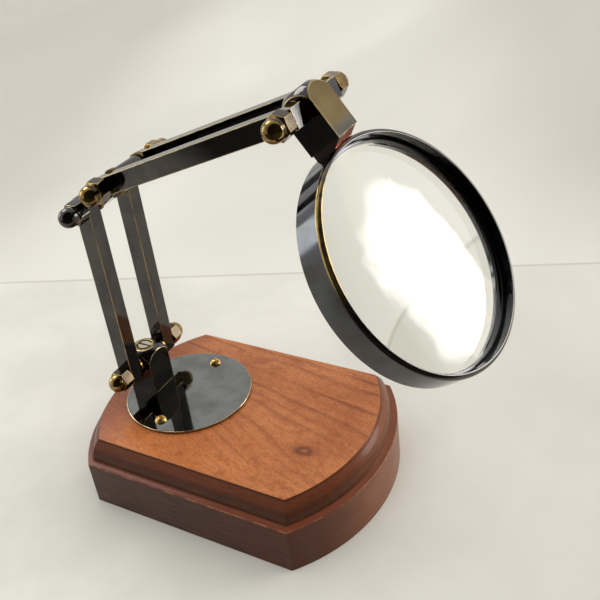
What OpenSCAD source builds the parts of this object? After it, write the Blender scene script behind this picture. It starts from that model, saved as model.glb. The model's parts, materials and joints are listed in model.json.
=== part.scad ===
// Stand magnifier: a large lens on a jointed arm of paired square bars, over a wooden foot.
// Millimetres. +Z is up, +X points from the arm's foot to the lens.
// The origin is the middle of the wooden base's underside.

/* [Wooden base] */
// Overall length of the base, back to front
base_len = 159; // [145:1:185]
// Overall width of the base
base_width = 114; // [100:1:130]
// Height of the base
base_height = 36.5; // [30:0.5:48]
// Height of the upright lower tier
plinth_height = 24.8; // [18:0.2:26]
// Radius of the bowed front end, seen from above
front_bow_r = 85; // [70:1:130]
// Radius of the bowed back end, seen from above
back_bow_r = 81; // [70:1:130]
// Width of the ledge on top of the lower tier
ledge_w = 3; // [1.5:0.1:6]
// How far the sloping moulding stands out past the top edge
moulding_w = 5.1; // [3:0.1:9]
// Height of the small upright step under the top edge
step_height = 1.2; // [0.6:0.1:2]
// Width of the small step under the top edge
step_w = 0.6; // [0.3:0.1:1.2]
// Radius of the moulding's shallow curve
moulding_r = 16; // [10:0.5:60]

/* [Foot plate] */
// Distance of the swivel axis from the back end of the base
post_inset = 25.3; // [23:0.1:34]
// Diameter of the round foot plate
plate_d = 66; // [58:1:74]
// Thickness of the foot plate
plate_t = 1.5; // [1:0.1:3]
// Distance of the plate's middle ahead of the swivel axis
plate_lead = 23.5; // [18:0.5:24]
// Distance between the two plate screws
plate_screw_pitch = 51; // [44:1:54]
// Diameter of the plate screws' round heads
plate_screw_head_d = 6.2; // [5:0.1:8]
// Height of the plate screws' round heads
plate_screw_head_h = 2.3; // [1.6:0.1:3]
// Shank diameter of the plate screws
plate_screw_d = 3; // [2.4:0.1:3.6]
// Length of the plate screws under the head
plate_screw_len = 16; // [10:1:20]

/* [Knuckles] */
// Width of the square knuckle blocks
knuckle_w = 16; // [14.6:0.2:17.4]
// Distance from a knuckle's pivot to its square end
knuckle_foot = 16.6; // [15:0.2:24]
// Distance from a knuckle's pivot to its flat crown
knuckle_crown = 7.4; // [7:0.1:8]
// Radius of the ball turned on a knuckle's end
ball_r = 12.6; // [12.4:0.1:13.4]
// How far the ball's centre lies below the pivot
ball_drop = 3.8; // [3.2:0.1:4.2]
// Diameter of the tension screw in a knuckle's crown
tension_screw_d = 6.4; // [5:0.1:6.8]
// Diameter of the recess round the tension screw
recess_d = 8.4; // [7.8:0.1:9]
// Depth of the recess round the tension screw
recess_depth = 1.4; // [0.8:0.1:2]
// Width of a screwdriver slot
slot_w = 1; // [0.7:0.1:1.3]
// Depth of a screwdriver slot
slot_depth = 1.1; // [0.7:0.1:1.2]

/* [Swivel bolt] */
// Diameter of the bolt that the arm swivels on
swivel_bolt_d = 6; // [5:0.2:8]
// Depth of the tapped hole in the knuckle's foot
swivel_thread = 10; // [7:0.5:11.5]
// Width across flats of the swivel bolt's head
swivel_head_af = 10; // [9:0.5:13]
// Height of the swivel bolt's head
swivel_head_h = 4; // [3:0.2:5]
// Diameter of the counterbore under the base
counterbore_d = 20; // [18:0.5:26]
// Depth of the counterbore under the base
counterbore_depth = 9; // [8:0.5:12]
// Diameter of the flat washer under the base
swivel_washer_d = 17; // [14:0.5:17.5]
// Thickness of the flat washer under the base
swivel_washer_t = 1.2; // [0.8:0.1:1.6]
// Thickness of the spring washer under the bolt's head
spring_washer_t = 1.6; // [1:0.1:2]

/* [Arm bars] */
// Depth of a bar in the plane that it swings in
bar_h = 8.5; // [8:0.1:10]
// Thickness of a bar across that plane
bar_t = 7.8; // [6:0.1:9]
// Gap between the near bar and the far bar
bar_gap = 20.7; // [19.4:0.1:23]
// Lower bars, pivot to pivot
lower_len = 95; // [80:1:130]
// How far the lower bars run past their pivots
lower_over = 4.6; // [4.4:0.1:7]
// Lean of the lower bars above level, as photographed
lower_deg = 90; // [75:1:105]
// Elbow link, pivot to pivot
link_len = 21; // [20:0.5:28]
// Slope of the elbow link above level, as photographed
link_deg = 38.2; // [30:0.1:60]
// Height of the elbow link
link_h = 9; // [8:0.2:11]
// Upper bars, pivot to pivot
upper_len = 104.8; // [90:0.2:140]
// How far the upper bars run past their pivots
upper_over = 4.6; // [4.4:0.1:7]
// Slope of the upper bars above level, as photographed
upper_deg = 21.4; // [10:0.1:35]

/* [Rods and nuts] */
// Diameter of the four pivot rods
rod_d = 5; // [4:0.1:5.6]
// Diameter of the spacing washers beside the knuckles and link
spacer_d = 10.4; // [8:0.2:12]
// Width across flats of an acorn nut
nut_af = 10; // [9.4:0.1:11]
// Height of an acorn nut's six-sided part
nut_hex_h = 6.4; // [5:0.1:7]
// Diameter of an acorn nut's dome
dome_d = 9.4; // [8:0.1:9.4]
// Whole length of the acorn nuts on the elbow's shafts and on the head's near side
long_nut_len = 13.2; // [12.4:0.1:14]
// Whole length of the acorn nuts on the foot's shaft and on the head's far side
short_nut_len = 11.2; // [10.8:0.1:12]
// Depth that a rod screws into its acorn nut
nut_thread = 7.5; // [5:0.5:8]
// Angle at which the acorn nut on the head's near side came to rest
head_nut_turn = 51.4; // [30:0.2:90]
// Radial clearance of a rod in the pieces that turn on it
fit = 0.05; // [0.02:0.01:0.1]
// Side clearance between pieces that turn against each other
play = 0.05; // [0.02:0.01:0.1]

/* [Lens and ring] */
// Outside diameter of the lens ring
ring_d = 105; // [98:0.5:112]
// Width of the lens ring, front to back
ring_w = 13.4; // [11:0.2:18]
// Wall of the lens ring
ring_wall = 2.2; // [1.6:0.1:3]
// Height of the lens axis above level, as photographed
lens_deg = 36.9; // [20:0.1:55]
// How far the ring's middle lies behind the head pivot
ring_set_back = 3.5; // [2:0.1:4.5]
// Twist of the ring on its saddle, as it was brazed
ring_twist = 5; // [0:0.5:8]
// Depth of the retaining ring below the ring's front edge
retainer_depth = 4.6; // [3.6:0.1:5]
// Thickness of the retaining ring
retainer_t = 2.4; // [1.6:0.1:2.8]
// How far the retaining ring reaches in over the lens
retainer_reach = 1.4; // [1:0.1:2]
// Thickness of the lens at its edge
lens_edge_t = 2.4; // [1.8:0.1:2.8]
// Rise of each lens face over its edge
lens_rise = 3.6; // [2.5:0.1:4]
// Length of the brazed saddle across the ring
saddle_len = 14; // [10:0.2:15]
// Thickness of the brazed saddle between the knuckle and the top of the ring
saddle_t = 2.2; // [2:0.1:6]
// Width of the brazed saddle along the ring's axis
saddle_w = 15; // [12:0.2:15.8]

/* [Hidden] */
$fn = 96;

// Clearance of a piece in its drilled or bored seat
seat = 0.15;
// Overrun that carries a cut clear of a face
cut = 1;

// Base
top_reach = ledge_w + moulding_w;
front_c = base_len / 2 - front_bow_r;
back_c = back_bow_r - base_len / 2;
curve_run = moulding_w - step_w;
curve_fall = base_height - plinth_height - step_height;
curve_chord = norm([curve_run, curve_fall]);
curve_sag = sqrt(moulding_r * moulding_r - curve_chord * curve_chord / 4);

// Foot plate and swivel
post_x = post_inset - base_len / 2;
plate_x = post_x + plate_lead;
plate_top = base_height + plate_t;
swivel_r = swivel_bolt_d / 2;
pivot_z = plate_top + play + knuckle_foot;

// Pivots of the arm, as [x, z] in the plane of the arm
function polar(length, angle) = length * [cos(angle), sin(angle)];
p_foot = [post_x, pivot_z];
p_elbow = p_foot + polar(lower_len, lower_deg);
p_link = p_elbow + polar(link_len, link_deg);
p_head = p_link + polar(upper_len, upper_deg);

// Rods and nuts
rod_r = rod_d / 2;
bar_in = bar_gap / 2;
bar_out = bar_in + bar_t;
nut_seat = bar_out + play;
rod_half = nut_seat + nut_thread;
spacer_t = bar_in - play - knuckle_w / 2;
dome_r = dome_d / 2;
nut_corner_r = nut_af / 2 / cos(30);

// Lens and ring, along the ring's own axis with its front edge at ring_w / 2
ring_r = ring_d / 2;
ring_drop = knuckle_foot + saddle_t + ring_r;
ring_in_r = ring_r - ring_wall;
retainer_front = ring_w / 2 - retainer_depth;
retainer_r = ring_in_r - retainer_reach;
lens_r = ring_in_r - seat;
lens_ball_r = (lens_r * lens_r + lens_rise * lens_rise) / (2 * lens_rise);
// The face is already this proud of its edge where the retaining ring bears on it
face_proud = lens_rise - lens_ball_r + sqrt(lens_ball_r * lens_ball_r - retainer_r * retainer_r);
lens_front = retainer_front - retainer_t - face_proud - seat / 2;
lens_back = lens_front - lens_edge_t;
lip_front = lens_back - face_proud - seat / 2;

// Placement
module at_pivot(p) translate([p[0], 0, p[1]]) children();

// The near side is -Y, the far side +Y. The child's +Z points away from the arm.
module on_near_side() rotate([90, 0, 0]) children();
module on_far_side() rotate([-90, 0, 0]) children();

module in_head_frame() at_pivot(p_head) rotate([0, -lens_deg, 0]) children();

module on_ring_axis()
    in_head_frame()
        translate([0, 0, -ring_drop])
            rotate([0, 0, -ring_twist])
                translate([-ring_set_back, 0, 0])
                    rotate([0, 90, 0])
                        children();

// Wooden base
module edge_section(reach) {
    foot = reach - ledge_w;
    top = reach - top_reach;
    square([reach, plinth_height]);
    square([top, base_height]);
    intersection() {
        square([foot, base_height - step_height]);
        // Shallow curve from the step down to the ledge
        translate([
            foot - curve_run / 2 - curve_sag * curve_fall / curve_chord,
            plinth_height + curve_fall / 2 - curve_sag * curve_run / curve_chord
        ])
            circle(r = moulding_r, $fn = 180);
    }
    // Solid core that the curve doesn't reach
    square([foot - curve_run, base_height - step_height]);
}

module side_section() {
    edge_section(base_width / 2);
    mirror([1, 0]) edge_section(base_width / 2);
}

module base_block() {
    intersection() {
        rotate([90, 0, 90]) linear_extrude(height = base_len + 2 * cut, center = true) side_section();
        translate([front_c, 0, 0]) rotate_extrude($fn = 180) edge_section(front_bow_r);
        translate([back_c, 0, 0]) rotate_extrude($fn = 180) edge_section(back_bow_r);
    }
}

module at_plate_screws() {
    for (side = [-1, 1])
        translate([plate_x, side * plate_screw_pitch / 2, plate_top])
            children();
}

module wood_base() {
    color("#8f4526")
        difference() {
            base_block();
            translate([post_x, 0, -cut])
                cylinder(r = swivel_r + seat, h = base_height + 2 * cut);
            translate([post_x, 0, -cut])
                cylinder(d = counterbore_d, h = counterbore_depth + cut);
            at_plate_screws()
                translate([0, 0, -plate_screw_len - seat])
                    cylinder(d = plate_screw_d + 2 * fit, h = plate_screw_len + cut);
        }
}

// Foot plate
module base_plate() {
    color("#4c4a45")
        difference() {
            translate([plate_x, 0, base_height])
                cylinder(d = plate_d, h = plate_t, $fn = 180);
            translate([post_x, 0, base_height - cut])
                cylinder(r = swivel_r + seat, h = plate_t + 2 * cut);
            at_plate_screws()
                translate([0, 0, -plate_t - cut])
                    cylinder(r = plate_screw_d / 2 + seat, h = plate_t + 2 * cut);
        }
}

module slot(width) {
    translate([-width, -slot_w / 2, -slot_depth])
        cube([2 * width, slot_w, slot_depth + cut]);
}

module round_head_screw() {
    head_r = plate_screw_head_d / 2;
    head_ball_r = (head_r * head_r + plate_screw_head_h * plate_screw_head_h) / (2 * plate_screw_head_h);
    point_h = plate_screw_d;
    difference() {
        intersection() {
            translate([0, 0, plate_screw_head_h - head_ball_r])
                sphere(r = head_ball_r);
            cylinder(r = head_r + cut, h = plate_screw_head_h + cut);
        }
        translate([0, 0, plate_screw_head_h])
            slot(plate_screw_head_d);
    }
    translate([0, 0, point_h - plate_screw_len])
        cylinder(d = plate_screw_d, h = plate_screw_len - point_h);
    translate([0, 0, -plate_screw_len])
        cylinder(d1 = slot_w / 2, d2 = plate_screw_d, h = point_h);
}

module plate_screws() {
    color("#b08a3c") at_plate_screws() round_head_screw();
}

// Knuckles: a square block whose upper end is turned to a ball and faced off
module knuckle_block() {
    difference() {
        union() {
            translate([-knuckle_w / 2, -knuckle_w / 2, -knuckle_foot])
                cube([knuckle_w, knuckle_w, knuckle_foot - ball_drop]);
            intersection() {
                translate([-knuckle_w / 2, -knuckle_w / 2, -ball_drop])
                    cube([knuckle_w, knuckle_w, ball_drop + knuckle_crown]);
                translate([0, 0, -ball_drop])
                    sphere(r = ball_r);
            }
        }
        rotate([90, 0, 0])
            cylinder(r = rod_r + fit, h = knuckle_w + 2 * cut, center = true);
        cylinder(d = tension_screw_d + 2 * fit, h = knuckle_crown + cut);
        translate([0, 0, knuckle_crown - recess_depth])
            cylinder(d = recess_d, h = recess_depth + cut);
    }
}

module swivel_knuckle() {
    color("#2e2c2a")
        difference() {
            at_pivot(p_foot) knuckle_block();
            translate([post_x, 0, pivot_z - knuckle_foot - cut])
                cylinder(r = swivel_r + fit, h = swivel_thread + cut);
        }
}

module tension_screw() {
    screw_foot = rod_r + fit;
    difference() {
        translate([0, 0, screw_foot])
            cylinder(d = tension_screw_d, h = knuckle_crown - screw_foot);
        translate([0, 0, knuckle_crown])
            slot(tension_screw_d);
    }
}

module foot_tension_screw() {
    color("#8d8574") at_pivot(p_foot) tension_screw();
}

module head_tension_screw() {
    color("#8d8574") in_head_frame() tension_screw();
}

// Swivel bolt, up through the base and the plate into the knuckle
module swivel_bolt() {
    head_top = counterbore_depth - swivel_washer_t - spring_washer_t;
    shank_top = pivot_z - knuckle_foot + swivel_thread - seat;
    color("#77736b")
        translate([post_x, 0, head_top]) {
            translate([0, 0, -swivel_head_h])
                cylinder(r = swivel_head_af / 2 / cos(30), h = swivel_head_h, $fn = 6);
            cylinder(r = swivel_r, h = shank_top - head_top);
        }
}

module flat_washer(outer_d, inner_r, thickness) {
    difference() {
        cylinder(d = outer_d, h = thickness);
        translate([0, 0, -cut])
            cylinder(r = inner_r, h = thickness + 2 * cut);
    }
}

module swivel_washer() {
    color("#b08a3c")
        translate([post_x, 0, counterbore_depth - swivel_washer_t])
            flat_washer(swivel_washer_d, swivel_r + seat, swivel_washer_t);
}

module swivel_spring_washer() {
    spring_d = swivel_head_af + 0.8;
    washer_foot = counterbore_depth - swivel_washer_t - spring_washer_t;
    color("#5f5d59")
        translate([post_x, 0, washer_foot])
            difference() {
                flat_washer(spring_d, swivel_r + seat, spring_washer_t);
                // The split of a spring washer
                translate([0, -slot_w / 2, -cut])
                    cube([spring_d, slot_w, spring_washer_t + 2 * cut]);
            }
}

// Pivot rods, acorn nuts and spacing washers
module pivot_rod(p) {
    at_pivot(p)
        rotate([90, 0, 0])
            cylinder(r = rod_r, h = 2 * rod_half, center = true);
}

module acorn_nut(nut_len) {
    chamfer = nut_corner_r - dome_r;
    difference() {
        union() {
            intersection() {
                cylinder(r = nut_corner_r, h = nut_hex_h, $fn = 6);
                rotate_extrude()
                    polygon([
                        [0, 0], [nut_af / 2, 0], [nut_corner_r, chamfer / 2],
                        [nut_corner_r, nut_hex_h - chamfer / 2], [dome_r, nut_hex_h], [0, nut_hex_h]
                    ]);
            }
            translate([0, 0, nut_hex_h / 2])
                cylinder(r = dome_r, h = nut_len - dome_r - nut_hex_h / 2);
            translate([0, 0, nut_len - dome_r])
                sphere(r = dome_r);
        }
        translate([0, 0, -cut])
            cylinder(r = rod_r + fit, h = nut_thread + seat + cut);
    }
}

module near_nut(p, nut_len, turn = 0) {
    at_pivot(p) translate([0, -nut_seat, 0]) on_near_side() rotate(turn) acorn_nut(nut_len);
}

module far_nut(p, nut_len) {
    at_pivot(p) translate([0, nut_seat, 0]) on_far_side() acorn_nut(nut_len);
}

module spacers(p) {
    at_pivot(p) {
        translate([0, -knuckle_w / 2, 0])
            on_near_side()
                flat_washer(spacer_d, rod_r + fit, spacer_t);
        translate([0, knuckle_w / 2, 0])
            on_far_side()
                flat_washer(spacer_d, rod_r + fit, spacer_t);
    }
}

module foot_rod() { color("#8d8574") pivot_rod(p_foot); }
module foot_nut_near() { color("#a67f36") near_nut(p_foot, short_nut_len); }
module foot_nut_far() { color("#a67f36") far_nut(p_foot, short_nut_len); }
module foot_spacers() { color("#6b5a35") spacers(p_foot); }

module elbow_rod() { color("#8d8574") pivot_rod(p_elbow); }
module elbow_nut_near() { color("#2e2c2a") near_nut(p_elbow, long_nut_len); }
module elbow_nut_far() { color("#2e2c2a") far_nut(p_elbow, long_nut_len); }
module elbow_spacers() { color("#6b5a35") spacers(p_elbow); }

module link_rod() { color("#8d8574") pivot_rod(p_link); }
module link_nut_near() { color("#a67f36") near_nut(p_link, long_nut_len); }
module link_nut_far() { color("#a67f36") far_nut(p_link, long_nut_len); }
module link_spacers() { color("#6b5a35") spacers(p_link); }

module head_rod() { color("#8d8574") pivot_rod(p_head); }
module head_nut_near() { color("#a67f36") near_nut(p_head, long_nut_len, head_nut_turn); }
module head_nut_far() { color("#a67f36") far_nut(p_head, short_nut_len); }
module head_spacers() { color("#6b5a35") spacers(p_head); }

// Bars and link lie in the plane of the arm, from one pivot along +X to the next
module drilled(length, thickness) {
    rotate([90, 0, 0])
        linear_extrude(height = thickness, center = true)
            difference() {
                children();
                circle(r = rod_r + fit);
                translate([length, 0]) circle(r = rod_r + fit);
            }
}

// The bars are cut square at their ends
module arm_bar(p, angle, length, over, side) {
    at_pivot(p)
        translate([0, side * (bar_in + bar_t / 2), 0])
            rotate([0, -angle, 0])
                drilled(length, bar_t)
                    translate([-over, -bar_h / 2])
                        square([length + 2 * over, bar_h]);
}

module lower_bar_near() { color("#3a3833") arm_bar(p_foot, lower_deg, lower_len, lower_over, -1); }
module lower_bar_far() { color("#3a3833") arm_bar(p_foot, lower_deg, lower_len, lower_over, 1); }
module upper_bar_near() { color("#3a3833") arm_bar(p_link, upper_deg, upper_len, upper_over, -1); }
module upper_bar_far() { color("#3a3833") arm_bar(p_link, upper_deg, upper_len, upper_over, 1); }

module elbow_link() {
    color("#2e2c2a")
        at_pivot(p_elbow)
            rotate([0, -link_deg, 0])
                drilled(link_len, knuckle_w)
                    hull() {
                        circle(d = link_h);
                        translate([link_len, 0]) circle(d = link_h);
                    }
}

// Head
module head_knuckle() {
    color("#2e2c2a") in_head_frame() knuckle_block();
}

module ring_saddle() {
    front = ring_w / 2 - ring_set_back - seat;
    color("#b5603f")
        difference() {
            in_head_frame()
                rotate([90, 0, 0])
                    linear_extrude(height = saddle_len, center = true)
                        polygon([
                            [-saddle_w / 2, -knuckle_foot], [saddle_w / 2, -knuckle_foot],
                            [front, -knuckle_foot - saddle_t], [front, -knuckle_foot - saddle_t - cut],
                            [-saddle_w / 2, -knuckle_foot - saddle_t - cut]
                        ]);
            on_ring_axis()
                cylinder(r = ring_r, h = 2 * ring_w, center = true, $fn = 180);
        }
}

module lens_ring() {
    color("#3a3833")
        on_ring_axis()
            difference() {
                cylinder(r = ring_r, h = ring_w, center = true, $fn = 180);
                translate([0, 0, lip_front])
                    cylinder(r = ring_in_r, h = ring_w, $fn = 180);
                cylinder(r = retainer_r, h = ring_w + 2 * cut, center = true, $fn = 180);
            }
}

module lens() {
    color([0.85, 0.93, 0.9, 0.35])
        on_ring_axis()
            intersection() {
                translate([0, 0, lens_front + lens_rise - lens_ball_r])
                    sphere(r = lens_ball_r, $fn = 360);
                translate([0, 0, lens_back - lens_rise + lens_ball_r])
                    sphere(r = lens_ball_r, $fn = 360);
                cylinder(r = lens_r, h = 4 * ring_w, center = true, $fn = 180);
            }
}

module lens_retainer() {
    color("#6b665c")
        on_ring_axis()
            translate([0, 0, retainer_front - retainer_t])
                difference() {
                    cylinder(r = ring_in_r, h = retainer_t, $fn = 180);
                    translate([0, 0, -cut])
                        cylinder(r = retainer_r, h = retainer_t + 2 * cut, $fn = 180);
                }
}

wood_base();
base_plate();
plate_screws();
swivel_knuckle();
swivel_bolt();
swivel_washer();
swivel_spring_washer();
foot_tension_screw();
foot_rod();
foot_nut_near();
foot_nut_far();
foot_spacers();
lower_bar_near();
lower_bar_far();
elbow_link();
elbow_rod();
elbow_nut_near();
elbow_nut_far();
elbow_spacers();
link_rod();
link_nut_near();
link_nut_far();
link_spacers();
upper_bar_near();
upper_bar_far();
head_knuckle();
head_rod();
head_nut_near();
head_nut_far();
head_spacers();
head_tension_screw();
ring_saddle();
lens_ring();
lens();
lens_retainer();
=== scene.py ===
import json
from math import asin, atan2, cos, pi, radians, sin, sqrt

import bmesh
import bpy
from mathutils import Matrix, Vector


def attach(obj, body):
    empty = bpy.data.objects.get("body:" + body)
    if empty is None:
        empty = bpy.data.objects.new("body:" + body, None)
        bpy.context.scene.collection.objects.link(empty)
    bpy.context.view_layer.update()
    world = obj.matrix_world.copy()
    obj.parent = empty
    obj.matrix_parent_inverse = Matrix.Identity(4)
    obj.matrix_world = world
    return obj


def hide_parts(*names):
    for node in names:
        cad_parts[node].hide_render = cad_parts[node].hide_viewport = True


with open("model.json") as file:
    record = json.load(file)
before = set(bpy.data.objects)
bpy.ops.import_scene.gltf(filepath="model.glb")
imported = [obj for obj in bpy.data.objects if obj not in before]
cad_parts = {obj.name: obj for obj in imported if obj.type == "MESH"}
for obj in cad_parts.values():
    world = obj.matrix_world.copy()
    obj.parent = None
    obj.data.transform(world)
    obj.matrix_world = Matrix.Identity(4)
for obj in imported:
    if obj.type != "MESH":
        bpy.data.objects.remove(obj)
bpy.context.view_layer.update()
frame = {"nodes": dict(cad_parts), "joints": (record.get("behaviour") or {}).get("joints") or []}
nodes = frame["nodes"]
mm = 0.001
print("frame loaded,", len(nodes), "nodes")

# the arm's shafts, in millimetres, straight from the frame's joints
shaft = {joint["name"]: Vector(joint["pos_m"]) / mm for joint in frame["joints"]}
footShaft, elbowShaft = shaft["foot_pivot"], shaft["elbow_pivot"]
linkShaft, headShaft = shaft["link_pivot"], shaft["head_tilt"]


def slopeOf(start, end):
    return atan2(end.z - start.z, end.x - start.x)


def tilted(point, angle):
    # turned up by an angle in the arm's plane, then put at a shaft
    return Matrix.Translation(point) @ Matrix.Rotation(-angle, 4, "Y")


# materials: Wire carries a socket through plain sums, Finish builds one material
class Wire:
    def __init__(self, finish, socket):
        self.finish = finish
        self.socket = socket

    def calc(self, operation, *values):
        return self.finish.add("ShaderNodeMath", {"operation": operation}, values)

    def __add__(self, other):
        return self.calc("ADD", self, other)

    def __radd__(self, other):
        return self.calc("ADD", other, self)

    def __sub__(self, other):
        return self.calc("SUBTRACT", self, other)

    def __rsub__(self, other):
        return self.calc("SUBTRACT", other, self)

    def __mul__(self, other):
        return self.calc("MULTIPLY", self, other)

    def __rmul__(self, other):
        return self.calc("MULTIPLY", other, self)

    def __truediv__(self, other):
        return self.calc("DIVIDE", self, other)

    def __rtruediv__(self, other):
        return self.calc("DIVIDE", other, self)

    def __pow__(self, other):
        return self.calc("POWER", self, other)

    def most(self, other):
        return self.calc("MAXIMUM", self, other)

    def size(self):
        return self.calc("ABSOLUTE", self)

    def root(self):
        return self.calc("SQRT", self)

    def whole(self):
        return self.calc("FLOOR", self)

    def fade(self, start, end, low=0.0, high=1.0):
        # smooth change from low at start to high at end
        settings = {"interpolation_type": "SMOOTHSTEP"}
        return self.finish.add("ShaderNodeMapRange", settings, (self, start, end, low, high))


def tone(code):
    # a colour as written in a picture, made linear
    parts = [int(code[i:i + 2], 16) / 255 for i in (1, 3, 5)]
    return [p / 12.92 if p <= 0.04045 else ((p + 0.055) / 1.055) ** 2.4 for p in parts] + [1.0]


class Finish:
    def __init__(self, name, world=False):
        self.owner = (bpy.data.worlds if world else bpy.data.materials).new(name)
        self.owner.use_nodes = True
        self.tree = self.owner.node_tree
        self.tree.nodes.clear()

    def add(self, kind, settings=None, values=(), out=0):
        node = self.tree.nodes.new(kind)
        for key, value in (settings or {}).items():
            if key == "stops":
                self.setStops(node.color_ramp, value)
            else:
                setattr(node, key, value)
        pairs = values.items() if isinstance(values, dict) else enumerate(values)
        for key, value in pairs:
            if isinstance(value, Wire):
                self.tree.links.new(value.socket, node.inputs[key])
            elif value is not None:
                node.inputs[key].default_value = value
        return Wire(self, node.outputs[out])

    def setStops(self, ramp, stops):
        while len(ramp.elements) < len(stops):
            ramp.elements.new(0.5)
        for element, (place, code) in zip(ramp.elements, stops):
            element.position = place
            element.color = tone(code)

    def where(self):
        # the piece's own coordinates, in metres
        return self.add("ShaderNodeTexCoord", out="Object")

    def split(self, vector):
        node = self.tree.nodes.new("ShaderNodeSeparateXYZ")
        self.tree.links.new(vector.socket, node.inputs[0])
        return [Wire(self, socket) for socket in node.outputs]

    def join(self, x, y, z):
        return self.add("ShaderNodeCombineXYZ", None, (x, y, z))

    def noise(self, vector, scale, detail=3.0, roughness=0.5, distortion=0.0):
        values = {"Vector": vector, "Scale": scale, "Detail": detail,
                  "Roughness": roughness, "Distortion": distortion}
        return self.add("ShaderNodeTexNoise", None, values)

    def stretched(self, vector, scale, turn=(0, 0, 0)):
        values = {"Vector": vector, "Scale": scale, "Rotation": turn}
        return self.add("ShaderNodeMapping", None, values)

    def mix(self, factor, first, second):
        # by number, because the node's sockets for colours share their names with others
        return self.add("ShaderNodeMix", {"data_type": "RGBA"}, {0: factor, 6: first, 7: second}, 2)

    def ramp(self, value, stops):
        return self.add("ShaderNodeValToRGB", {"stops": stops}, (value,))

    def bump(self, height, strength, distance):
        return self.add("ShaderNodeBump", None,
                        {"Strength": strength, "Distance": distance, "Height": height})

    def surface(self, **values):
        named = {key.replace("_", " "): value for key, value in values.items()}
        return self.add("ShaderNodeBsdfPrincipled", None, named)

    def lightPath(self, out):
        return self.add("ShaderNodeLightPath", None, (), out)

    def mirrored(self):
        # a ray that has been reflected, not one that came through the glass
        return self.lightPath("Is Glossy Ray") * (1.0 - self.lightPath("Is Transmission Ray"))

    def done(self, shader, output="ShaderNodeOutputMaterial"):
        last = self.tree.nodes.new(output)
        self.tree.links.new(shader.socket, last.inputs["Surface"])
        return self.owner


def mark(finish, name):
    # how much of a mark, set on the faces when the piece was made, a place has
    return finish.add("ShaderNodeAttribute", {"attribute_name": name}, (), "Fac")


# the head's front face is browned, and greyer towards its lower end; heights in metres
tanning = {"from": 0.193, "to": 0.1985, "grey": "#4b4942", "brown": "#6c5b38"}


def makeBlackMetal(name, dark, worn, bare, smooth=0.05):
    # brass under a polished black film, rubbed thin along the edges
    finish = Finish(name)
    spot = finish.where()
    cloud = finish.noise(spot, 75.0, 5.0, 0.62)
    smear = finish.noise(finish.stretched(spot, (55, 55, 170)), 1.0, 4.0)
    fleck = finish.noise(spot, 620.0, 2.0)
    edge = mark(finish, "edge") * finish.noise(spot, 210.0, 4.0, 0.6).fade(0.3, 0.6, 0.35, 1.0)
    rubbed = mark(finish, "rubbed")
    tanned = mark(finish, "tanned")
    body = finish.mix(cloud.fade(0.36, 0.68), tone(dark[0]), tone(dark[1]))
    body = finish.mix(fleck.fade(0.72, 0.8, 0.0, 0.4), body, tone(worn))
    body = finish.mix(rubbed * cloud.fade(0.2, 0.8, 1.0, 0.75), body, tone(bare))
    browned = finish.split(spot)[2].fade(tanning["from"], tanning["to"]) * cloud.fade(0.3, 0.7, 1.0, 0.85)
    body = finish.mix(tanned, body, finish.mix(browned, tone(tanning["grey"]), tone(tanning["brown"])))
    colour = finish.mix(edge, body, tone(worn))
    rough = smear.fade(0.35, 0.8, smooth, smooth + 0.07) + edge * 0.15 + rubbed * 0.1 + tanned * 0.12
    scratch = finish.noise(finish.stretched(spot, (500, 500, 2600), (0.3, 0.2, 0)), 1.0, 2.0)
    normal = finish.bump(scratch, 0.03, 0.0002)
    return finish.done(finish.surface(Base_Color=colour, Metallic=1.0, Roughness=rough, Normal=normal))


def makeGold(name, bright, tarnished, smooth=0.05):
    finish = Finish(name)
    spot = finish.where()
    cloud = finish.noise(spot, 150.0, 4.0, 0.6)
    colour = finish.mix(cloud.fade(0.38, 0.66), tone(bright), tone(tarnished))
    # the marked flats are painted near black: painted shade that dulls their reflection
    colour = finish.mix(mark(finish, "flats") * cloud.fade(0.3, 0.6, 0.95, 0.85), colour, tone("#3a342d"))
    colour = finish.mix(mark(finish, "edge") * 0.45, colour, tone("#dcb56c"))
    rough = cloud.fade(0.3, 0.7, smooth, smooth + 0.11)
    normal = finish.bump(finish.noise(spot, 1100.0, 2.0), 0.05, 0.0002)
    return finish.done(finish.surface(Base_Color=colour, Metallic=1.0, Roughness=rough, Normal=normal))


def makeSteel(name, bright, dull, roughness):
    finish = Finish(name)
    spot = finish.where()
    cloud = finish.noise(spot, 260.0, 4.0, 0.6)
    colour = finish.mix(cloud.fade(0.4, 0.7), tone(bright), tone(dull))
    rough = cloud.fade(0.3, 0.7, roughness, roughness + 0.15)
    return finish.done(finish.surface(Base_Color=colour, Metallic=1.0, Roughness=rough))


# the saddle's copper colour ends this far out from its middle, in metres
copper = {"from": 0.0061, "to": 0.0069}


def makeBraze():
    finish = Finish("copper braze")
    spot = finish.where()
    lump = finish.noise(spot, 420.0, 4.0, 0.6)
    colour = finish.mix(lump.fade(0.38, 0.66), tone("#c06a50"), tone("#8a4433"))
    # both sides took the black finish
    sides = finish.split(spot)[1].size().fade(copper["from"], copper["to"])
    colour = finish.mix(sides * 0.96, colour, tone("#2a2524"))
    rough = lump.fade(0.3, 0.7, 0.3, 0.5)
    normal = finish.bump(lump, 0.5, 0.0004)
    return finish.done(finish.surface(Base_Color=colour, Metallic=0.8, Roughness=rough, Normal=normal))


def makeGlass():
    finish = Finish("lens glass")
    glass = finish.surface(Base_Color=tone("#fcfdf9"), Roughness=0.0, IOR=1.5, Transmission_Weight=1.0,
                           Specular_IOR_Level=0.9)
    # a shadow ray passes straight through, so the lens throws hardly any shadow
    clear = finish.add("ShaderNodeBsdfTransparent", None, {"Color": tone("#f2f6ef")})
    shader = finish.add("ShaderNodeMixShader", None, (finish.lightPath("Is Shadow Ray"), glass, clear))
    return finish.done(shader)


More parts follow.
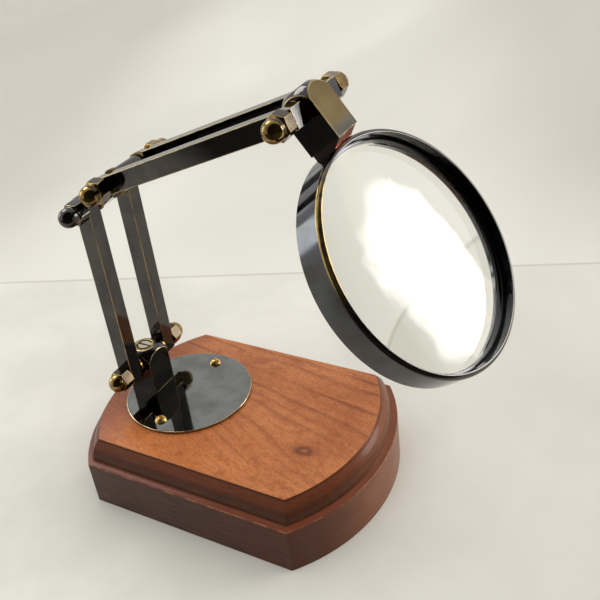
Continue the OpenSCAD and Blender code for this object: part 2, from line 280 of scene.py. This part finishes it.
# sizes of the base that its wood pattern also needs, in millimetres
base = {
    "length": 159, "width": 114, "height": 36.5, "tier": 24.8,
    "frontBow": 85, "backBow": 81, "ledge": 3, "run": 4.5,
    "mouldingTop": 35.3, "step": 0.6, "curve": 16,
    "softEdge": 0.5, "topSoft": 0.35, "cornerRound": 0.7, "cornerOut": 50, "cornerRise": 5,
    "steps": 60,
}

# the wood's grain and stain, and the painted light and shade on its moulding and near side; each pair is
# where a change starts and ends, in millimetres
wood = {
    "knot": (47.0, -17.8), "knotReach": 10.0, "knotLong": 0.35, "ringPitch": 5.6,
    "slope": 0.287, "fan": -0.0041, "fanFrom": -20.0, "climb": 0.4, "sway": 13.0,
    "topEdge": (36.35, 36.0), "tierTop": (24.7, 24.3), "nearSide": (-48.0, -56.5),
    "lipOuter": (24.15, 24.45), "lipInner": (24.79, 24.7),
    "moulding": [(0.0, "#6b3320"), (0.1, "#1f0d08"), (0.45, "#2c130c"), (0.7, "#4f2314"),
                 (0.86, "#542712"), (0.93, "#2e1006"), (1.0, "#44200f")],
}


def makeWood():
    finish = Finish("stained wood")
    spot = finish.where()
    x, y, z = [part * 1000.0 for part in finish.split(spot)]
    # grain runs along the base, leans across it, fans out, and opens round one knot
    lean = x * (y.most(wood["fanFrom"]) * wood["fan"] + wood["slope"])
    sway = finish.noise(finish.join(x * 0.011, y * 0.02, z * 0.02), 1.0, 2.0) - 0.5
    across = y + lean + sway * wood["sway"] + z * wood["climb"]
    knotX, knotY = wood["knot"]
    knotLean = knotX * (knotY * wood["fan"] + wood["slope"])
    knotAcross = knotY + knotLean + base["height"] * wood["climb"]
    dx, dy = x - knotX, y - knotY
    gap = (dx * dx * wood["knotLong"] + dy * dy).root()
    pull = 1.0 / ((gap / wood["knotReach"]) ** 2.0 + 1.0)
    field = across - (across - knotAcross) * pull * 0.8
    # growth rings: dark lines that come and go, faint on the near side
    ripple = finish.noise(finish.join(x * 0.035, field * 0.25, z * 0.1), 1.0, 3.0, 0.6) - 0.5
    turn = field / wood["ringPitch"] + ripple * 0.75
    year = turn.whole()
    ring = turn - year
    strength = finish.noise(finish.join(year * 3.7, 0.5, 0.5), 1.0, 0.0).fade(0.3, 0.7, 0.15, 1.0)
    fades = finish.noise(finish.join(x * 0.02, field * 0.05, 0.3), 1.0, 2.0).fade(0.35, 0.6, 0.35, 1.0)
    calm = (y + x * 0.15).fade(-46.0, 0.0, 0.12, 1.0)
    line = ring.fade(0.45, 0.93) * ring.fade(1.0, 0.95) * strength * fades * calm
    streak = finish.noise(finish.join(x * 0.03, field * 1.5, z * 1.5), 1.0, 4.0, 0.65)
    pore = finish.noise(finish.join(x * 0.28, across * 4.2, z * 4.2), 1.0, 2.0, 0.55)
    fleck = finish.noise(finish.join(x * 0.55, across * 1.3, z * 1.3), 1.0, 3.0, 0.7)
    blotch = finish.noise(finish.join(x * 0.024, y * 0.03, z * 0.03), 1.0, 3.0, 0.55)
    mottle = finish.noise(finish.join(x * 0.13, y * 0.2, z * 0.2), 1.0, 4.0, 0.6)
    body = finish.mix(blotch.fade(0.32, 0.68), tone("#ad6233"), tone("#c97c47"))
    body = finish.mix(y.fade(5.0, 50.0, 0.0, 0.3), body, tone("#ae6a42"))
    warm = (y + 30.0).size().fade(34.0, 8.0) * (x + 12.0).size().fade(70.0, 20.0)
    body = finish.mix(warm * mottle.fade(0.35, 0.65, 0.15, 0.8), body, tone("#cb7433"))
    body = finish.mix(x.fade(-38.0, -64.0, 0.0, 0.85), body, tone("#763615"))
    body = finish.mix(streak.fade(0.42, 0.75, 0.0, 0.4), body, tone("#d58d54"))
    body = finish.mix(mottle.fade(0.48, 0.72, 0.0, 0.62), body, tone("#974f27"))
    body = finish.mix(fleck.fade(0.48, 0.7, 0.0, 0.6), body, tone("#8c4722"))
    body = finish.mix(fleck.fade(0.45, 0.28, 0.0, 0.35), body, tone("#dc965c"))
    body = finish.mix(line * 0.62, body, tone("#6e341a"))
    body = finish.mix(pore.fade(0.58, 0.72, 0.0, 0.5), body, tone("#6c3218"))
    # the knot's ring and the darker wood about it
    ragged = gap + (mottle - 0.5) * 5.0
    eye = ragged.fade(0.9, 1.9) * ragged.fade(4.2, 2.2)
    body = finish.mix(ragged.fade(7.5, 3.0) * 0.25, body, tone("#8a4a2a"))
    body = finish.mix(eye * 0.8, body, tone("#642f19"))
    # along the top's edge and on the moulding the wood is darker: partly stain, partly painted shade in
    # bands under the step and low on the moulding; the front end's moulding is painted lighter where the
    # light falls on it
    sideways = finish.noise(finish.join(x * 0.05, y * 0.05, z * 1.1), 1.0, 4.0, 0.6)
    band = finish.ramp((z - base["tier"]) / (base["height"] - base["tier"]), wood["moulding"])
    front = x.fade(30.0, 75.0) * y.fade(-45.0, 25.0)
    band = finish.mix(front * sideways.fade(0.3, 0.7, 0.5, 0.9), band, tone("#7b4526"))
    band = finish.mix(sideways.fade(0.55, 0.75, 0.0, 0.35), band, tone("#7b422a"))
    body = finish.mix(z.fade(*wood["topEdge"]) * 0.93, body, band)
    # painted shade: on the tier the near long side is painted darkest, and the front end darkens towards
    # the near corner
    low = finish.mix(sideways.fade(0.3, 0.7), tone("#70402a"), tone("#8c5b40"))
    low = finish.mix(y.fade(0.0, -50.0), low, tone("#47281c"))
    left = finish.mix(sideways.fade(0.3, 0.72), tone("#251712"), tone("#4e3226"))
    right = finish.mix(sideways.fade(0.3, 0.7), tone("#371b13"), tone("#4b2618"))
    side = finish.mix(x.fade(-10.0, 58.0), left, right)
    low = finish.mix(y.fade(*wood["nearSide"]), low, side)
    body = finish.mix(z.fade(*wood["tierTop"]) * 0.95, body, low)
    # corners and the tier's upper edge are scuffed
    scuff = finish.noise(spot, 120.0, 5.0, 0.65)
    lip = z.fade(*wood["lipOuter"]) * z.fade(*wood["lipInner"])
    rubbed = mark(finish, "edge").most(lip * 0.8) * scuff.fade(0.42, 0.62)
    body = finish.mix(rubbed * 0.7, body, tone("#b5764d"))
    rough = streak.fade(0.3, 0.7, 0.3, 0.44)
    height = pore.fade(0.5, 0.75, 1.0, 0.0) + line * 0.3 + mottle * 0.4
    normal = finish.bump(height, 0.16, 0.0003)
    shader = finish.surface(Base_Color=body, Roughness=rough, Normal=normal, Specular_IOR_Level=0.15,
                            Coat_Weight=0.16, Coat_Roughness=0.14)
    return finish.done(shader)


blackMetal = makeBlackMetal("blackened brass", ("#53514e", "#474546"), "#b3a274", "#8f7c50")
plateMetal = makeBlackMetal("blackened plate", ("#7f7f7c", "#6c6c68"), "#d8c08c", "#8f7c50", 0.03)
bandMetal = makeBlackMetal("blackened band", ("#55565a", "#4c4b48"), "#b09860", "#8f7c50", 0.06)
goldMetal = makeGold("polished brass", "#9c834f", "#5d482a")
screwMetal = makeGold("screw brass", "#e6c27c", "#b58f50", 0.22)
dullMetal = makeGold("tarnished brass", "#8d7441", "#5e4a2a")
steelMetal = makeSteel("worn steel", "#a8a08c", "#6d6656", 0.2)
brazeMetal = makeBraze()
lensGlass = makeGlass()
stainedWood = makeWood()
print("materials made")


# mesh helpers: shapes are in millimetres until a piece is placed
def sharpEdges(bm, angle):
    return [e for e in bm.edges if len(e.link_faces) == 2 and e.calc_face_angle() > radians(angle)]


def markFaces(bm, name, wanted):
    # marks the wanted faces, for a material to read
    layer = bm.faces.layers.float.get(name) or bm.faces.layers.float.new(name)
    for face in bm.faces:
        if wanted(face):
            face[layer] = 1.0


def softenEdges(bm, width, angle=26, only=None):
    # rounds the sharp edges and marks the new faces, where the finish is worn
    worn = bm.faces.layers.float.new("edge")
    chosen = [e for e in sharpEdges(bm, angle) if only is None or only(e)]
    made = bmesh.ops.bevel(bm, geom=chosen, offset=width, offset_type="OFFSET", segments=3,
                           profile=0.5, affect="EDGES", material=-1, clamp_overlap=True)
    for face in made["faces"]:
        face[worn] = 1.0


def makePiece(bm, name, place, body, finish, stands, even=True):
    # stands: the frame's nodes that the piece takes the place of
    bmesh.ops.remove_doubles(bm, verts=bm.verts[:], dist=0.0005)
    bmesh.ops.recalc_face_normals(bm, faces=bm.faces[:])
    for face in bm.faces:
        face.smooth = True
    bm.transform(Matrix.Scale(mm, 4) @ place)
    mesh = bpy.data.meshes.new(name)
    bm.to_mesh(mesh)
    bm.free()
    piece = bpy.data.objects.new(name, mesh)
    bpy.context.scene.collection.objects.link(piece)
    mesh.materials.append(finish)
    if even:
        piece.modifiers.new("evenNormals", "WEIGHTED_NORMAL")
    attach(piece, body)
    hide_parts(*stands)


def spun(outline, steps):
    # a closed outline of (radius, height), turned round the z axis
    bm = bmesh.new()
    corners = [bm.verts.new((r, 0, h)) for r, h in outline]
    edges = [bm.edges.new((a, b)) for a, b in zip(corners, corners[1:] + corners[:1])]
    bmesh.ops.spin(bm, geom=corners + edges, cent=(0, 0, 0), axis=(0, 0, 1), dvec=(0, 0, 0),
                   angle=2 * pi, steps=steps, use_merge=True, use_duplicate=False)
    return bm


def grown(rings, steps):
    # rings grown one from the last: each a (radius, height), which may be functions of the angle,
    # or one function from the share of the turn to a point
    bm = bmesh.new()
    turnedBy = bm.verts.layers.float.new("turnedBy")
    bmesh.ops.create_circle(bm, cap_ends=True, segments=steps, radius=1)
    for vert in bm.verts:
        vert[turnedBy] = atan2(vert.co.y, vert.co.x) % (2 * pi)
    loop = bm.edges[:]
    for index, ring in enumerate(rings):
        if index:
            more = bmesh.ops.extrude_edge_only(bm, edges=loop)["geom"]
            loop = [e for e in more if isinstance(e, bmesh.types.BMEdge) and len(e.link_faces) == 1]
        for vert in {v for e in loop for v in e.verts}:
            angle = vert[turnedBy]
            if callable(ring):
                vert.co = ring(angle / (2 * pi))
            else:
                r, h = [part(angle) if callable(part) else part for part in ring]
                vert.co = (r * cos(angle), r * sin(angle), h)
    bmesh.ops.edgeloop_fill(bm, edges=loop)
    return bm


def arc(centre, radius, start, end, count):
    # points round part of a circle, both ends included
    step = (end - start) / count
    return [(centre[0] + radius * cos(start + step * i), centre[1] + radius * sin(start + step * i))
            for i in range(count + 1)]


# wooden base: one closed line, set in and raised tier by tier
def baseProfile():
    # (distance in from the outline, height), with the edges eased
    ease, topEase = base["softEdge"], base["topSoft"]
    run, low, high = base["run"], base["tier"], base["mouldingTop"]
    fall = high - low
    chord = sqrt(run * run + fall * fall)
    sag = sqrt(base["curve"] ** 2 - chord * chord / 4)
    middle = (base["ledge"] + run / 2 + sag * fall / chord, low + fall / 2 - sag * run / chord)
    start = atan2(low - middle[1], base["ledge"] - middle[0])
    end = atan2(high - middle[1], base["ledge"] + run - middle[0])
    if start < 0:
        start += 2 * pi
    if end < 0:
        end += 2 * pi
    moulding = arc(middle, base["curve"], start, end, 12)
    top, stepIn = base["height"], base["ledge"] + run + base["step"]
    points = arc((ease, low - ease), ease, pi, pi / 2, 4)
    points += moulding
    points += [(stepIn, high)]
    points += arc((stepIn + topEase, top - topEase), topEase, pi, pi / 2, 4)
    return points


def baseRing(inward, height):
    # one closed line round the base: the two bowed ends, joined by the straight sides
    half = base["width"] / 2 - inward
    ends = ((base["length"] / 2 - base["frontBow"], base["frontBow"] - inward, 1),
            (base["backBow"] - base["length"] / 2, base["backBow"] - inward, -1))

    def point(share):
        spot = round(share * base["steps"] * 2 - 0.5) % (base["steps"] * 2)
        centre, reach, way = ends[spot // base["steps"]]
        turn = asin(half / reach)
        angle = turn * (2 * (spot % base["steps"]) / (base["steps"] - 1) - 1)
        return (centre + way * reach * cos(angle), way * reach * sin(angle), height)
    return point


def isUpright(edge):
    # a corner's edge, where a bowed end meets a straight side
    first, second = [vert.co for vert in edge.verts]
    return abs(first.y) > base["cornerOut"] and abs(first.z - second.z) > base["cornerRise"]


def makeBase():
    ease = base["softEdge"]
    below = arc((ease, ease), ease, 1.5 * pi, pi, 4)
    bm = grown([baseRing(*p) for p in below + baseProfile()], base["steps"] * 2)
    bmesh.ops.recalc_face_normals(bm, faces=bm.faces[:])
    softenEdges(bm, base["cornerRound"], only=isUpright)
    return bm


makePiece(makeBase(), "stainedBase", Matrix(), "foot", stainedWood, ["wood_base"])
print("base made")

# round foot plate
plate = {"radius": 33, "thick": 1.5, "middle": -30.7, "foot": 36.5, "steps": 160, "soft": 0.3}


def makePlate():
    bm = bmesh.new()
    bmesh.ops.create_circle(bm, cap_ends=True, segments=plate["steps"], radius=plate["radius"])
    raised = bmesh.ops.extrude_face_region(bm, geom=bm.faces[:])["geom"]
    for vert in raised:
        if isinstance(vert, bmesh.types.BMVert):
            vert.co.z += plate["thick"]
    bmesh.ops.recalc_face_normals(bm, faces=bm.faces[:])
    softenEdges(bm, plate["soft"])
    return bm


makePiece(makePlate(), "polishedPlate", Matrix.Translation((plate["middle"], 0, plate["foot"])),
          "foot", plateMetal, ["base_plate"])

# knuckles: square below, turned to a ball above, with a drilled and faced crown
knuckle = {
    "half": 8, "foot": 16.6, "crown": 7.4, "ball": 12.6, "drop": 3.8,
    "recess": 4.2, "recessFloor": 6.0, "bore": 3.25, "boreFloor": 3.0, "soft": 0.28,
    "steps": 64, "ballSteps": 6, "headTilt": 36.9,
}


def squareReach(angle):
    return knuckle["half"] / max(abs(cos(angle)), abs(sin(angle)))


def makeKnuckle(browned=False):
    # browned: its front face has lost the black film
    k = knuckle
    flat = sqrt(k["ball"] ** 2 - (k["crown"] + k["drop"]) ** 2)

    def onBall(share):
        def reach(angle):
            return flat + (squareReach(angle) - flat) * share

        def height(angle):
            return sqrt(k["ball"] ** 2 - reach(angle) ** 2) - k["drop"]
        return reach, height
    rings = [(k["bore"], k["boreFloor"]), (k["bore"], k["recessFloor"]),
             (k["recess"], k["recessFloor"]), (k["recess"], k["crown"]), (flat, k["crown"])]
    rings += [onBall(step / k["ballSteps"]) for step in range(1, k["ballSteps"] + 1)]
    rings += [(squareReach, -k["foot"])]
    bm = grown(rings, k["steps"])
    bmesh.ops.recalc_face_normals(bm, faces=bm.faces[:])
    markFaces(bm, "rubbed", lambda f: min(v.co.z for v in f.verts) > k["crown"] - 0.01)
    markFaces(bm, "tanned", lambda f: browned and f.normal.x > 0.9)
    softenEdges(bm, k["soft"])
    return bm


lensTilt = radians(knuckle["headTilt"])
makePiece(makeKnuckle(), "footKnuckle", Matrix.Translation(footShaft), "swivel",
          blackMetal, ["swivel_knuckle"])
makePiece(makeKnuckle(True), "headKnuckle", tilted(headShaft, lensTilt), "head",
          blackMetal, ["head_knuckle"])
print("knuckles made")

# square-ended bars, and the round-ended link between them; "over" is how far one runs past its shafts
bar = {"high": 8.5, "thick": 7.8, "over": 4.6, "soft": 0.32, "segments": 4, "gap": 20.7}
link = {"high": 9, "thick": 16, "over": 4.5, "soft": 0.4, "segments": 40}


def makeBar(start, end, kind):
    # a circle drawn out along the bar; with 4 segments it is a square
    high, over, half = kind["high"], kind["over"], kind["thick"] / 2
    radius = high / 2 if kind["segments"] > 4 else high / sqrt(2)
    turn = Matrix.Rotation(pi / 2, 4, "X") @ Matrix.Rotation(pi / kind["segments"], 4, "Z")
    bm = bmesh.new()
    bmesh.ops.create_circle(bm, cap_ends=True, segments=kind["segments"], radius=radius, matrix=turn)
    for vert in bm.verts:
        vert.co.x += (end - start).length + over - high / 2 if vert.co.x > 0 else high / 2 - over
        vert.co.y = -half
    raised = bmesh.ops.extrude_face_region(bm, geom=bm.faces[:])["geom"]
    for vert in raised:
        if isinstance(vert, bmesh.types.BMVert):
            vert.co.y = half
    bmesh.ops.recalc_face_normals(bm, faces=bm.faces[:])
    softenEdges(bm, kind["soft"])
    return bm


barMiddle = (bar["gap"] + bar["thick"]) / 2
for word, start, end in (("lower", footShaft, elbowShaft), ("upper", linkShaft, headShaft)):
    for side, way in (("near", -1), ("far", 1)):
        place = tilted(start + Vector((0, way * barMiddle, 0)), slopeOf(start, end))
        makePiece(makeBar(start, end, bar), word + "Bar." + side, place, word + "_arm",
                  blackMetal, [word + "_bar_" + side])
makePiece(makeBar(elbowShaft, linkShaft, link), "elbowLink",
          tilted(elbowShaft, slopeOf(elbowShaft, linkShaft)), "elbow", blackMetal,
          ["elbow_link"])
print("bars made")

# acorn nuts: a chamfered hexagon, a fine groove and a ball-ended cap
nut = {
    "flats": 10, "hexHigh": 6.4, "lowChamfer": 0.69, "highChamfer": 0.5, "faceIn": 0.15,
    "cap": 4.7, "groove": 0.25, "grooveFrom": 0.1, "grooveTo": 0.45, "capFrom": 0.6, "tip": 0.12,
    "long": 13.2, "short": 11.2, "bore": 2.55, "boreDeep": 7.65, "soft": 0.16, "steps": 72,
    "seat": 18.2, "headTurn": 51.4,
}


def hexReach(angle):
    sixth = pi / 3
    return nut["flats"] / 2 / cos(angle % sixth - sixth / 2)


def makeNut(length, dark):
    # dark: its flats are painted near black, a painted shade that dulls the bright reflection they would
    # show
    n = nut
    flat = n["flats"] / 2
    capFoot = length - n["cap"]

    def lowEdge(angle):
        return 0.05 + (hexReach(angle) - flat) * n["lowChamfer"]

    def highEdge(angle):
        return top - (hexReach(angle) - n["cap"]) * n["highChamfer"]
    top, inward = n["hexHigh"], n["cap"] - n["groove"]
    rings = [(n["bore"], n["boreDeep"]), (n["bore"], 0), (flat - n["faceIn"], 0), (hexReach, lowEdge),
             (hexReach, highEdge), (n["cap"], top), (inward, top + n["grooveFrom"]),
             (inward, top + n["grooveTo"]), (n["cap"], top + n["capFrom"])]
    dome = arc((0, capFoot), n["cap"], 0, pi / 2, 12)[:-1]
    if capFoot < top + n["capFrom"]:
        # a short nut's cap is all dome, cut off where the groove ends
        dome = [p for p in dome if p[1] > top + n["capFrom"] + 0.1]
    rings += dome + [(n["tip"], length - 0.005)]
    bm = grown(rings, n["steps"])
    bmesh.ops.recalc_face_normals(bm, faces=bm.faces[:])
    markFaces(bm, "flats", lambda f: dark and f.calc_center_median().xy.length > flat - 0.4
              and abs(f.normal.z) < 0.1)
    softenEdges(bm, n["soft"], 38)
    return bm


nuts = (("foot", footShaft, "swivel", "short", "short", goldMetal, "gold_brass"),
        ("elbow", elbowShaft, "elbow", "long", "long", blackMetal, "black_brass"),
        ("link", linkShaft, "elbow", "long", "long", goldMetal, "gold_brass"),
        ("head", headShaft, "head", "long", "short", goldMetal, "gold_brass"))
for word, point, body, nearSize, farSize, finish, slotName in nuts:
    for side, way, size in (("near", -1, nearSize), ("far", 1, farSize)):
        seat = Matrix.Translation(point + Vector((0, way * nut["seat"], 0)))
        outward = Matrix.Rotation(-way * pi / 2, 4, "X")
        if (word, side) == ("head", "near"):
            outward = outward @ Matrix.Rotation(radians(nut["headTurn"]), 4, "Z")
        shape = makeNut(nut[size], side == "near" or word == "foot")
        makePiece(shape, word + "Nut." + side, seat @ outward, body, finish,
                  [word + "_nut_" + side])
print("nuts made")

# lens ring, lens and retaining ring, about the ring's own axis
ring = {
    "drop": 71.3, "twist": -5, "setBack": 3.5, "outer": 52.5, "inner": 50.3, "half": 6.7,
    "lipFront": -3.2, "lip": 48.9, "retainer": (-0.3, 2.1), "soft": 0.3, "frontRound": 1.7,
    "steps": 200, "retainerSteps": 180,
    "wearSide": (-0.64, -0.77), "wearFrom": 42, "wearOver": 8, "wearLeast": 0.08,
}
ringPlace = (tilted(headShaft, lensTilt) @ Matrix.Translation((0, 0, -ring["drop"]))
             @ Matrix.Rotation(radians(ring["twist"]), 4, "Z")
             @ Matrix.Translation((-ring["setBack"], 0, 0)) @ Matrix.Rotation(pi / 2, 4, "Y"))
lens = {
    "radius": 50.15, "ball": 351.1, "front": -0.55, "back": -2.95, "rise": 3.6, "pole": 0.05,
    "bands": 28, "steps": 180,
}


def wearNear(bm):
    # only the near upper side's edges are rubbed down to the brass
    worn = bm.faces.layers.float.get("edge")
    for face in bm.faces:
        reach = face.calc_center_median().xy.dot(Vector(ring["wearSide"]))
        share = (reach - ring["wearFrom"]) / ring["wearOver"]
        face[worn] *= min(1.0, max(ring["wearLeast"], share))


def makeRing():
    # the front's outer edge is polished well round
    r = ring
    reach, high = r["outer"] - r["frontRound"], r["half"] - r["frontRound"]
    outline = [(r["outer"], -r["half"])] + arc((reach, high), r["frontRound"], 0, pi / 2, 7)
    outline += [(r["inner"], r["half"]), (r["inner"], r["lipFront"]), (r["lip"], r["lipFront"]),
                (r["lip"], -r["half"])]
    bm = spun(outline, r["steps"])
    bmesh.ops.recalc_face_normals(bm, faces=bm.faces[:])
    softenEdges(bm, r["soft"])
    markFaces(bm, "edge", lambda f: f.calc_center_median().z > high)
    wearNear(bm)
    return bm


def makeRetainer():
    inner, lip = ring["inner"], ring["lip"]
    low, high = ring["retainer"]
    bm = spun([(inner, low), (inner, high), (lip, high), (lip, low)], ring["retainerSteps"])
    bmesh.ops.recalc_face_normals(bm, faces=bm.faces[:])
    softenEdges(bm, ring["soft"])
    wearNear(bm)
    return bm


def makeLens():
    # two faces of one ball's curve, joined by a thin edge
    ball, bands = lens["ball"], lens["bands"]
    step = asin(lens["radius"] / ball) / bands
    top, bottom = lens["front"] + lens["rise"], lens["back"] - lens["rise"]
    front = [(ball * sin(step * i), top - ball + ball * cos(step * i)) for i in range(1, bands + 1)]
    back = [(r, top + bottom - h) for r, h in reversed(front)]
    return grown([(lens["pole"], top)] + front + back + [(lens["pole"], bottom)], lens["steps"])


makePiece(makeRing(), "lensRing", ringPlace, "head", bandMetal, ["lens_ring"])
makePiece(makeRetainer(), "lensRetainer", ringPlace, "head", bandMetal, ["lens_retainer"])
makePiece(makeLens(), "magnifyingLens", ringPlace, "head", lensGlass, ["lens"], even=False)
print("ring and lens made")

# nodes that stay as the frame has them
kept = (
    (screwMetal, ("plate_screws",)),
    (steelMetal, ("foot_tension_screw", "head_tension_screw", "swivel_bolt", "swivel_spring_washer",
                  "foot_rod", "elbow_rod", "link_rod", "head_rod")),
    (dullMetal, ("swivel_washer", "foot_spacers", "elbow_spacers", "link_spacers", "head_spacers")),
    (brazeMetal, ("ring_saddle",)),
)
for finish, names in kept:
    for name in names:
        nodes[name].data.materials.clear()
        nodes[name].data.materials.append(finish)


# room: pale paper behind and overhead; reflected rays alone also see painted reflections: dark towards
# the camera, with a window, a light overhead and a cooler one at the side; directions are azimuth and
# elevation, in degrees
room = {
    "paper": "#e6e6e6", "dark": "#2b2826",
    "darkSide": (-40, 20), "darkFrom": 0.42, "darkTo": 0.1,
    "window": (45, 13), "windowHalf": (0.195, 0.245), "windowGlow": 6.5,
    "top": (157, 45), "topHalf": (0.24, 0.2), "topGlow": 6.0,
    "sideLight": (-174, 12), "sideHalf": (0.13, 0.3), "sideGlow": 3.6, "sideTint": (0.93, 0.98, 1.0),
    "soft": 0.35, "sideSoft": 0.5, "wobble": 0.22, "wobbleScale": 5.0,
    "paperEdge": (0.13, 0.2), "level": 1.15,
}


def bearing(azimuth, elevation):
    a, e = radians(azimuth), radians(elevation)
    return Vector((cos(e) * cos(a), cos(e) * sin(a), sin(e)))


def towards(parts, direction):
    # how far a direction lies to the side of, above and along the given one
    ahead = bearing(*direction)
    side = ahead.cross(Vector((0, 0, 1))).normalized()
    rise = side.cross(ahead)
    sums = [parts[0] * axis.x + parts[1] * axis.y + parts[2] * axis.z for axis in (side, rise, ahead)]
    ahead = sums[2].most(0.05)
    return sums[0] / ahead, sums[1] / ahead, sums[2]


def patch(parts, direction, half, soft, wobble):
    # a round-cornered patch of light
    across, rise, ahead = towards(parts, direction)
    across, rise = (across + wobble).size() / half[0], (rise + wobble * 0.7).size() / half[1]
    return (across ** 3.0 + rise ** 3.0).fade(1.0 + soft, 1.0 - soft) * ahead.fade(0.1, 0.2)


def makeWorld():
    finish = Finish("room", world=True)
    heading = finish.add("ShaderNodeTexCoord", None, (), 0)
    parts = finish.split(heading)
    wobble = (finish.noise(heading, room["wobbleScale"], 3.0) - 0.5) * room["wobble"]
    mirrored = finish.mirrored()
    toDark = towards(parts, room["darkSide"])[2].fade(room["darkTo"], room["darkFrom"])
    colour = finish.mix(toDark * mirrored, tone(room["paper"]), tone(room["dark"]))
    share = patch(parts, room["sideLight"], room["sideHalf"], room["sideSoft"], wobble)
    cool = [room["sideGlow"] * part for part in room["sideTint"]]
    colour = finish.mix(share * mirrored, colour, cool + [1])
    for name in ("top", "window"):
        share = patch(parts, room[name], room[name + "Half"], room["soft"], wobble)
        colour = finish.mix(share * mirrored, colour, [room[name + "Glow"]] * 3 + [1])
    back = finish.add("ShaderNodeBackground", None, {"Color": colour, "Strength": room["level"]})
    bpy.context.scene.world = finish.done(back, "ShaderNodeOutputWorld")


# paper floor, flat; the wall behind and the soft crease into it are painted on it, the crease as a
# painted shade line
stage = {
    "reach": 4.0, "crease": ((-0.2802, 0.0965), (0.1255, 0.2547)), "creaseHalf": 0.0022,
    "towardsCamera": (0.534, -0.845),
    # where each painted shade starts and ends, along the crease or beyond it, in metres
    "wallRight": (0.26, 0.48), "wallLeft": (0.1, -0.1), "wallUp": (-0.1, 0.2), "paperRight": (0.2, 0.42),
}


def makeFloor():
    bm = bmesh.new()
    bmesh.ops.create_grid(bm, x_segments=2, y_segments=2, size=stage["reach"])
    mesh = bpy.data.meshes.new("floor")
    bm.to_mesh(mesh)
    bm.free()
    floor = bpy.data.objects.new("floor", mesh)
    bpy.context.scene.collection.objects.link(floor)
    finish = Finish("pale paper")
    spot = finish.where()
    x, y = finish.split(spot)[:2]
    (ax, ay), (bx, by) = stage["crease"]
    along = Vector((bx - ax, by - ay)).normalized()
    beyond = (y - ay) * along.x - (x - ax) * along.y
    cloud = finish.noise(spot, 7.0, 4.0, 0.6)
    # painted shading of soft folds in the wall paper; the plane itself is flat
    foldShading = finish.noise(finish.stretched(spot, (3.0, 1.2, 1.0), (0, 0, 0.5)), 1.0, 3.0, 0.5, 0.4)
    paper = finish.mix(cloud.fade(0.32, 0.68), tone("#efece1"), tone("#dfdcd0"))
    wall = finish.mix(foldShading.fade(0.3, 0.7), tone("#f0ede2"), tone("#dcd9cd"))
    sideways = (x - ax) * along.x + (y - ay) * along.y
    # painted shade: the wall is darkened towards both sides and further up from the crease
    shade = sideways.fade(*stage["wallRight"]).most(sideways.fade(*stage["wallLeft"]))
    wall = finish.mix(shade * beyond.fade(*stage["wallUp"]) * 0.75, wall, tone("#bdb8ac"))
    # painted shade: the same paper is darkened towards the front right
    paper = finish.mix(sideways.fade(*stage["paperRight"]) * 0.5, paper, tone("#cfcbbf"))
    # painted shade: a thin dark line along the crease
    crease = beyond.size().fade(stage["creaseHalf"], 0.0) * 0.4
    colour = finish.mix(beyond.fade(-0.002, 0.004), paper, wall)
    colour = finish.mix(crease, colour, tone("#a39c8e"))
    # the sheet ends just outside the picture, and what lies beyond it is dark in reflections
    near, far = room["paperEdge"]
    forward = x * stage["towardsCamera"][0] + y * stage["towardsCamera"][1]
    colour = finish.mix(forward.fade(near, far) * finish.mirrored(), colour, tone("#3c3833"))
    mesh.materials.append(finish.done(finish.surface(Base_Color=colour, Roughness=0.7)))


# the window's light, in metres and watts; the room above gives its reflection
window = {
    "place": (2.5, 2.3, 1.7), "aim": (0.05, 0, 0.12), "size": (1.8, 2.4), "watts": 40,
    "colour": "#fffaf2",
}


def makeLamp():
    lamp = bpy.data.lights.new("window", "AREA")
    lamp.shape = "RECTANGLE"
    lamp.size, lamp.size_y = window["size"]
    lamp.energy = window["watts"]
    lamp.color = tone(window["colour"])[:3]
    holder = bpy.data.objects.new("window", lamp)
    holder.visible_glossy = False
    look = (Vector(window["aim"]) - Vector(window["place"])).to_track_quat("-Z", "Y")
    holder.matrix_world = Matrix.Translation(window["place"]) @ look.to_matrix().to_4x4()
    bpy.context.scene.collection.objects.link(holder)


# the photograph's camera, in millimetres
view = {
    "place": (220.548, -277.89, 315.5),
    "right": (0.87504, 0.47122, -0.11075),
    "up": (-0.17062, 0.51436, 0.84043),
    "lens": 52.565, "sensor": 36, "nearest": 10,
}


def makeCamera():
    right = Vector(view["right"]).normalized()
    back = right.cross(Vector(view["up"])).normalized()
    turn = Matrix((right, back.cross(right), back)).transposed().to_4x4()
    camera = bpy.data.objects.new("camera", bpy.data.cameras.new("camera"))
    camera.data.sensor_width = view["sensor"]
    camera.data.lens = view["lens"]
    camera.data.clip_start = view["nearest"] * mm
    camera.matrix_world = Matrix.Translation(Vector(view["place"]) * mm) @ turn
    bpy.context.scene.collection.objects.link(camera)
    bpy.context.scene.camera = camera


makeFloor()
makeWorld()
makeLamp()
makeCamera()
bpy.context.scene.view_settings.view_transform = "Standard"
print("stage made")

bpy.context.view_layer.update()
